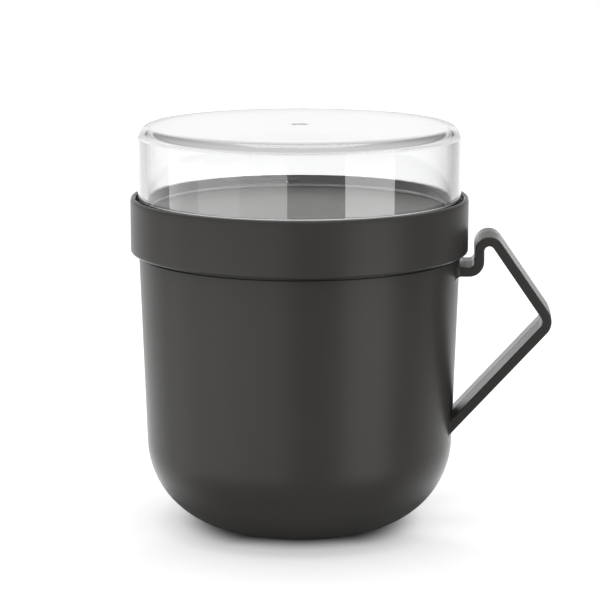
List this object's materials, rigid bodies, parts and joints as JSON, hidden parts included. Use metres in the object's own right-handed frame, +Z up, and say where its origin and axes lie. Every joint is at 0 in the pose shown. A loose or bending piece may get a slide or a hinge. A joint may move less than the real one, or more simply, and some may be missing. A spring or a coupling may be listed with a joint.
{
  "type": "soup mug",
  "caption": "Lidded soup mug with an angular strap handle, a dark screw lid with a recessed top, and a clear cap locked into it.",
  "frame": {"origin": "centre of the foot ring, on the plane that the mug stands on", "axes": "+Z up along the mug's axis, +X from the axis towards the handle, -Y towards the viewer of the picture"},
  "size_m": [0.1398, 0.112, 0.1343],
  "materials": {
    "dark_plastic": "satin",
    "gasket_rubber": "matte",
    "seal_rubber": "matte",
    "clear_plastic": "gloss"
  },
  "bodies": {
    "mug": {"mug_body": "dark_plastic"},
    "lid_ring": {"lid_gasket": "gasket_rubber"},
    "lid": {"screw_lid": "dark_plastic"},
    "cap_ring": {"cap_seal": "seal_rubber"},
    "cap": {"clear_cap": "clear_plastic"}
  },
  "joints": [
    {"name": "lid_lift", "type": "slide", "parent": "mug", "child": "lid_ring", "axis": [0, 0, 1], "range_m": [0, 0.012]},
    {"name": "lid_turn", "type": "hinge", "parent": "lid_ring", "child": "lid", "pos_m": [0, 0, 0.1], "axis": [0, 0, 1], "range_deg": [0, 360]},
    {"name": "cap_lift", "type": "slide", "parent": "lid", "child": "cap_ring", "axis": [0, 0, 1], "range_m": [0, 0.006]},
    {"name": "cap_turn", "type": "hinge", "parent": "cap_ring", "child": "cap", "pos_m": [0, 0, 0.12], "axis": [0, 0, 1], "range_deg": [0, 180]}
  ],
  "couplings": [
    {"joint": "lid_lift", "follows": "lid_turn", "m_per_rad": 0.0019099},
    {"joint": "cap_lift", "follows": "cap_turn", "m_per_rad": 0.0019099}
  ]
}
